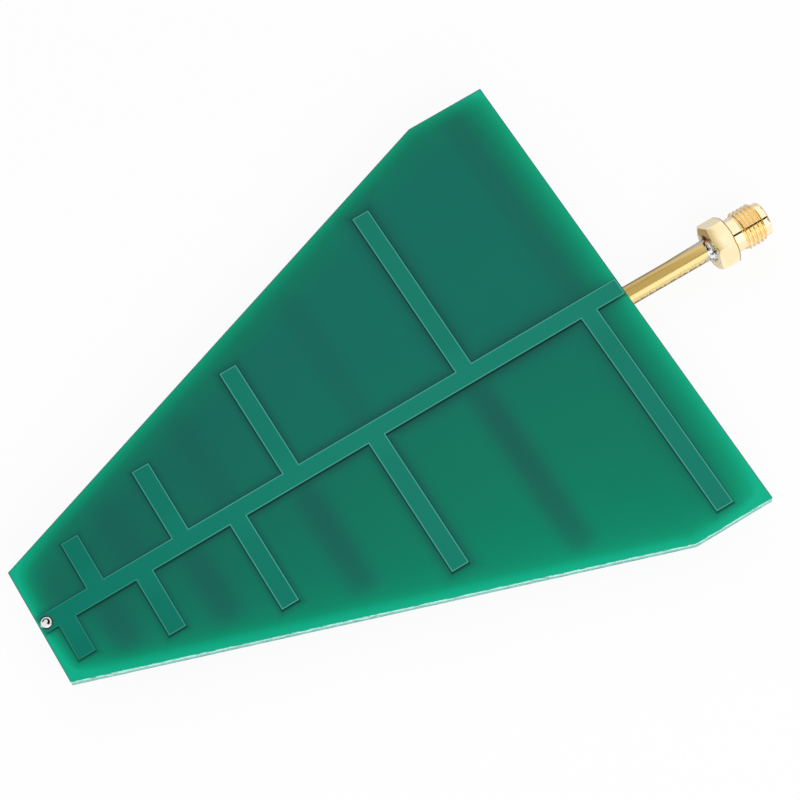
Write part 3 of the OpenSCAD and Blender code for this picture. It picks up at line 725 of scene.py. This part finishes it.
rough = add(tree, "MapRange", {"Value": cloud, "To Min": 0.14, "To Max": 0.3})
bump = add(tree, "Bump", {"Height": cloud, "Strength": 0.3, "Distance": 0.04 * MM})
skin = add(tree, "BsdfPrincipled", {"Base Color": tone, "Metallic": 1.0, "Roughness": rough, "Normal": bump})
add(tree, "OutputMaterial", {"Surface": skin})

# %% Feed joint
JOINT_R, JOINT_H, WIRE_R, WIRE_STUB = 0.875, 0.4, 0.41, 0.12
JOINT_Z = FRONT_Z + COPPER_T


def dome_row(level):
    """A ring of the dome. Level 0 is its foot on the copper and 1 its crown."""
    spread = JOINT_R * cos(level * pi / 2 * 0.97)
    row = []
    for a in round_angles:
        bump_out = noise.noise(Vector((cos(a) * 1.4, sin(a) * 1.4, level * 2 + 7))) * 0.05 * level
        side_lift = 0.06 * level * cos(a - radians(200))
        z = JOINT_Z + JOINT_H * sin(level * pi / 2) * 0.86 + side_lift + bump_out * JOINT_H
        row.append((FEED_X + cos(a) * spread, sin(a) * spread, z))
    return row


rows = [[(x, y, JOINT_Z) for x, y, z in dome_row(0)]] + [dome_row(i / 14) for i in range(15)]
dome = piece_from("feed_solder_dome", rows, bright_solder, caps=True, sharp=60)
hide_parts("feed_joint")
finish_node("centre_wire", bright_solder)

# %% [markdown]
# Six joints hold the coax to the boom on the back. Each fills the wedge between the round tube and the flat
# copper on both sides, and thins out to both ends.

# %% Solder tacks
TACK_L, TACK_FIRST, TACK_LAST, STRIP_Z = 6.0, 9.0, 95.0, 1.64


def on_board(along, across):
    """X and Y of a place on the board, given along and across it."""
    turn = Matrix.Rotation(SKEW, 2)
    spot = turn @ Vector((along - FEED_AT, across))
    return FEED_X + spot.x, spot.y


for k in range(6):
    middle = TACK_FIRST + k * (TACK_LAST - TACK_FIRST) / 5
    rows = []
    for i in range(41):
        run = -1 + 2 * i / 40
        swell = max(1 - abs(run) ** 2.4, 0) ** 0.6
        rise = 0.05 + 0.95 * swell
        row = []
        tube_y = -(middle + run * TACK_L / 2 - FEED_AT) * tan(SKEW)
        for side in (1, -1):
            wander = 1 + 0.08 * noise.noise(Vector((run * 2.2 + k * 5, side * 3, 1)))
            foot = side * STRIP_HALF * min(0.55 + 0.45 * swell * wander, 1)
            room = min(abs(foot) + 0.2 - side * tube_y, 1.495)
            climb = min(1.1, STRIP_Z - sqrt(JACKET_R ** 2 - room ** 2)) * rise * wander
            arc = [(foot, STRIP_Z)]
            for j in range(1, 10):
                f = j / 10
                z = STRIP_Z - climb * f
                hug = sqrt(max(JACKET_R ** 2 - z ** 2, 0.04))
                arc.append((foot * (1 - f) + (tube_y + side * hug) * f - side * 0.08 * sin(pi * f) * swell, z))
            row += arc if side > 0 else arc[::-1]
        x_mm = [on_board(middle + run * TACK_L / 2, y) for y, z in row]
        rows.append([(x, y, z) for (x, y), (_, z) in zip(x_mm, row)])
    tack = piece_from(f"solder_joint_{k + 1}", rows, bright_solder, caps=True, sharp=60)
    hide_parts(f"solder_tack_{k + 1}")

# %% Solder at the jack
rows = []
for x, r in ((RECESS_X, JACKET_R), (RECESS_X, RECESS_R), (HEX_BACK, RECESS_R), (HEX_BACK - 0.06, 2.18),
             (HEX_BACK - 0.12, 2.0), (HEX_BACK - 0.22, 1.84), (HEX_BACK - 0.36, 1.74), (HEX_BACK - 0.55, 1.67),
             (HEX_BACK - 0.75, 1.63), (HEX_BACK - 0.9, JACKET_R)):
    free = r < RECESS_R - 0.01 and r > JACKET_R + 0.01
    lump = lambda a, r=r, x=x, free=free: r + (0.09 * noise.noise(Vector((cos(a) * 1.6, sin(a) * 1.6, x * 2)))
                                               if free else 0)
    rows.append(turned(x, lump, round_angles))
ring = piece_from("jack_solder_fillet", rows, bright_solder, loop=True, sharp=60)
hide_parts("jack_solder")
